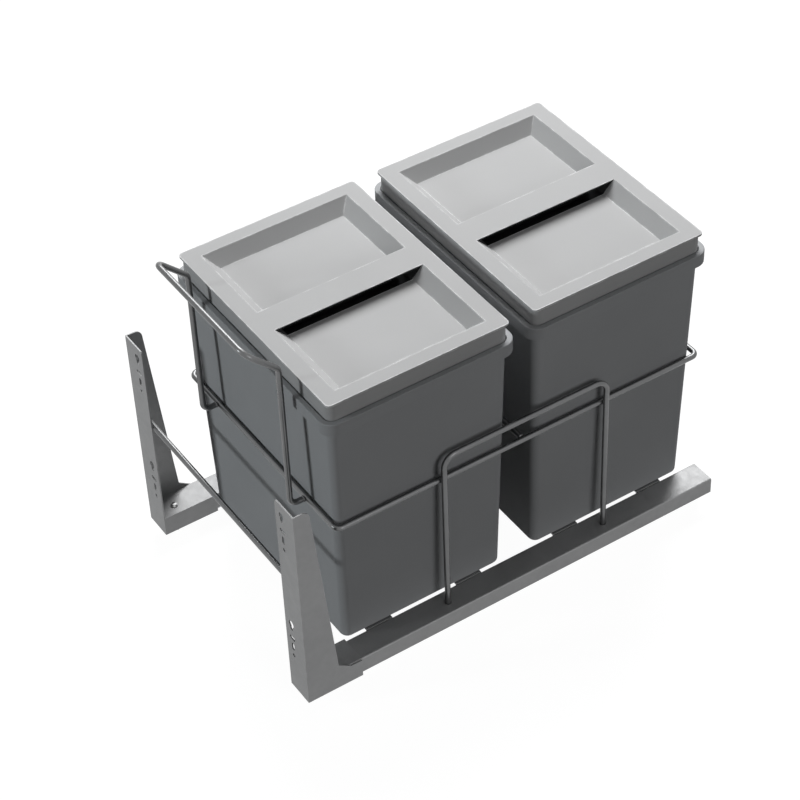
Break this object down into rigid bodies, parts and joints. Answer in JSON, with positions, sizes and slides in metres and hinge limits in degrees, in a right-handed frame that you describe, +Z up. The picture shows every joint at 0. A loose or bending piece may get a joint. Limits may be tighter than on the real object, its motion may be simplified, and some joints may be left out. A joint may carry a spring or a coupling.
{
  "type": "pull-out waste bin frame",
  "caption": "Pull-out frame on ball runners for a base cabinet, with wire hoops, a wire handle, door brackets and lidded waste bins.",
  "frame": {"origin": "on the cabinet floor, under the middle of the whole frame's box", "axes": "+X across the cabinet to the right seen from the door, -Y towards the door and the way the frame pulls out, +Z up"},
  "size_m": [0.32, 0.508, 0.4139],
  "materials": {
    "frame_paint": "satin grey powder coat",
    "wire_paint": "glossy grey metallic coat",
    "runner_steel": "zinc plated",
    "ball_steel": "polished",
    "fastener_steel": "zinc plated",
    "cage_plastic": "natural",
    "bin_plastic": "grey, fine grain",
    "lid_plastic": "light grey, fine grain",
    "buffer_rubber": "matt"
  },
  "bodies": {
    "runner_base": {"runner_feet_left": "frame_paint", "runner_feet_right": "frame_paint", "outer_member_left": "runner_steel", "outer_member_right": "runner_steel", "foot_rivets": "fastener_steel", "rear_buffers": "buffer_rubber"},
    "carriage": {"inner_member_left": "runner_steel", "inner_member_right": "runner_steel", "hanger_left": "frame_paint", "hanger_right": "frame_paint", "hanger_rivets": "fastener_steel", "rail_left": "frame_paint", "rail_right": "frame_paint", "door_bracket_left": "frame_paint", "door_bracket_right": "frame_paint", "bracket_screws": "fastener_steel", "bracket_nuts": "fastener_steel", "tie_rod": "frame_paint", "cross_bar_1": "frame_paint", "cross_bar_2": "frame_paint", "cross_bar_3": "frame_paint", "cross_bar_4": "frame_paint", "ring_wire": "wire_paint", "divider_wire": "wire_paint", "side_loop_left": "wire_paint", "side_loop_right": "wire_paint", "handle": "wire_paint"},
    "middle_left": {"middle_member_left": "runner_steel"},
    "outer_cage_left": {"outer_cage_left": "cage_plastic", "outer_balls_left": "ball_steel"},
    "inner_cage_left": {"inner_cage_left": "cage_plastic", "inner_balls_left": "ball_steel"},
    "middle_right": {"middle_member_right": "runner_steel"},
    "outer_cage_right": {"outer_cage_right": "cage_plastic", "outer_balls_right": "ball_steel"},
    "inner_cage_right": {"inner_cage_right": "cage_plastic", "inner_balls_right": "ball_steel"},
    "front_bin": {"front_bin": "bin_plastic"},
    "front_lid": {"front_lid": "lid_plastic"},
    "rear_bin": {"rear_bin": "bin_plastic"},
    "rear_lid": {"rear_lid": "lid_plastic"}
  },
  "joints": [
    {"name": "pull_out", "type": "slide", "parent": "runner_base", "child": "carriage", "axis": [0, -1, 0], "range_m": [0, 0.45]},
    {"name": "middle_left_slide", "type": "slide", "parent": "runner_base", "child": "middle_left", "axis": [0, -1, 0], "range_m": [0, 0.225]},
    {"name": "outer_cage_left_slide", "type": "slide", "parent": "runner_base", "child": "outer_cage_left", "axis": [0, -1, 0], "range_m": [0, 0.1125]},
    {"name": "inner_cage_left_slide", "type": "slide", "parent": "runner_base", "child": "inner_cage_left", "axis": [0, -1, 0], "range_m": [0, 0.3375]},
    {"name": "middle_right_slide", "type": "slide", "parent": "runner_base", "child": "middle_right", "axis": [0, -1, 0], "range_m": [0, 0.225]},
    {"name": "outer_cage_right_slide", "type": "slide", "parent": "runner_base", "child": "outer_cage_right", "axis": [0, -1, 0], "range_m": [0, 0.1125]},
    {"name": "inner_cage_right_slide", "type": "slide", "parent": "runner_base", "child": "inner_cage_right", "axis": [0, -1, 0], "range_m": [0, 0.3375]},
    {"name": "front_bin_lift", "type": "slide", "parent": "carriage", "child": "front_bin", "axis": [0, 0, 1], "range_m": [0, 0.25]},
    {"name": "front_lid_lift", "type": "slide", "parent": "front_bin", "child": "front_lid", "axis": [0, 0, 1], "range_m": [0, 0.1]},
    {"name": "rear_bin_lift", "type": "slide", "parent": "carriage", "child": "rear_bin", "axis": [0, 0, 1], "range_m": [0, 0.25]},
    {"name": "rear_lid_lift", "type": "slide", "parent": "rear_bin", "child": "rear_lid", "axis": [0, 0, 1], "range_m": [0, 0.1]}
  ],
  "couplings": [
    {"joint": "middle_left_slide", "follows": "pull_out", "ratio": 0.5},
    {"joint": "outer_cage_left_slide", "follows": "pull_out", "ratio": 0.25},
    {"joint": "inner_cage_left_slide", "follows": "pull_out", "ratio": 0.75},
    {"joint": "middle_right_slide", "follows": "pull_out", "ratio": 0.5},
    {"joint": "outer_cage_right_slide", "follows": "pull_out", "ratio": 0.25},
    {"joint": "inner_cage_right_slide", "follows": "pull_out", "ratio": 0.75}
  ]
}
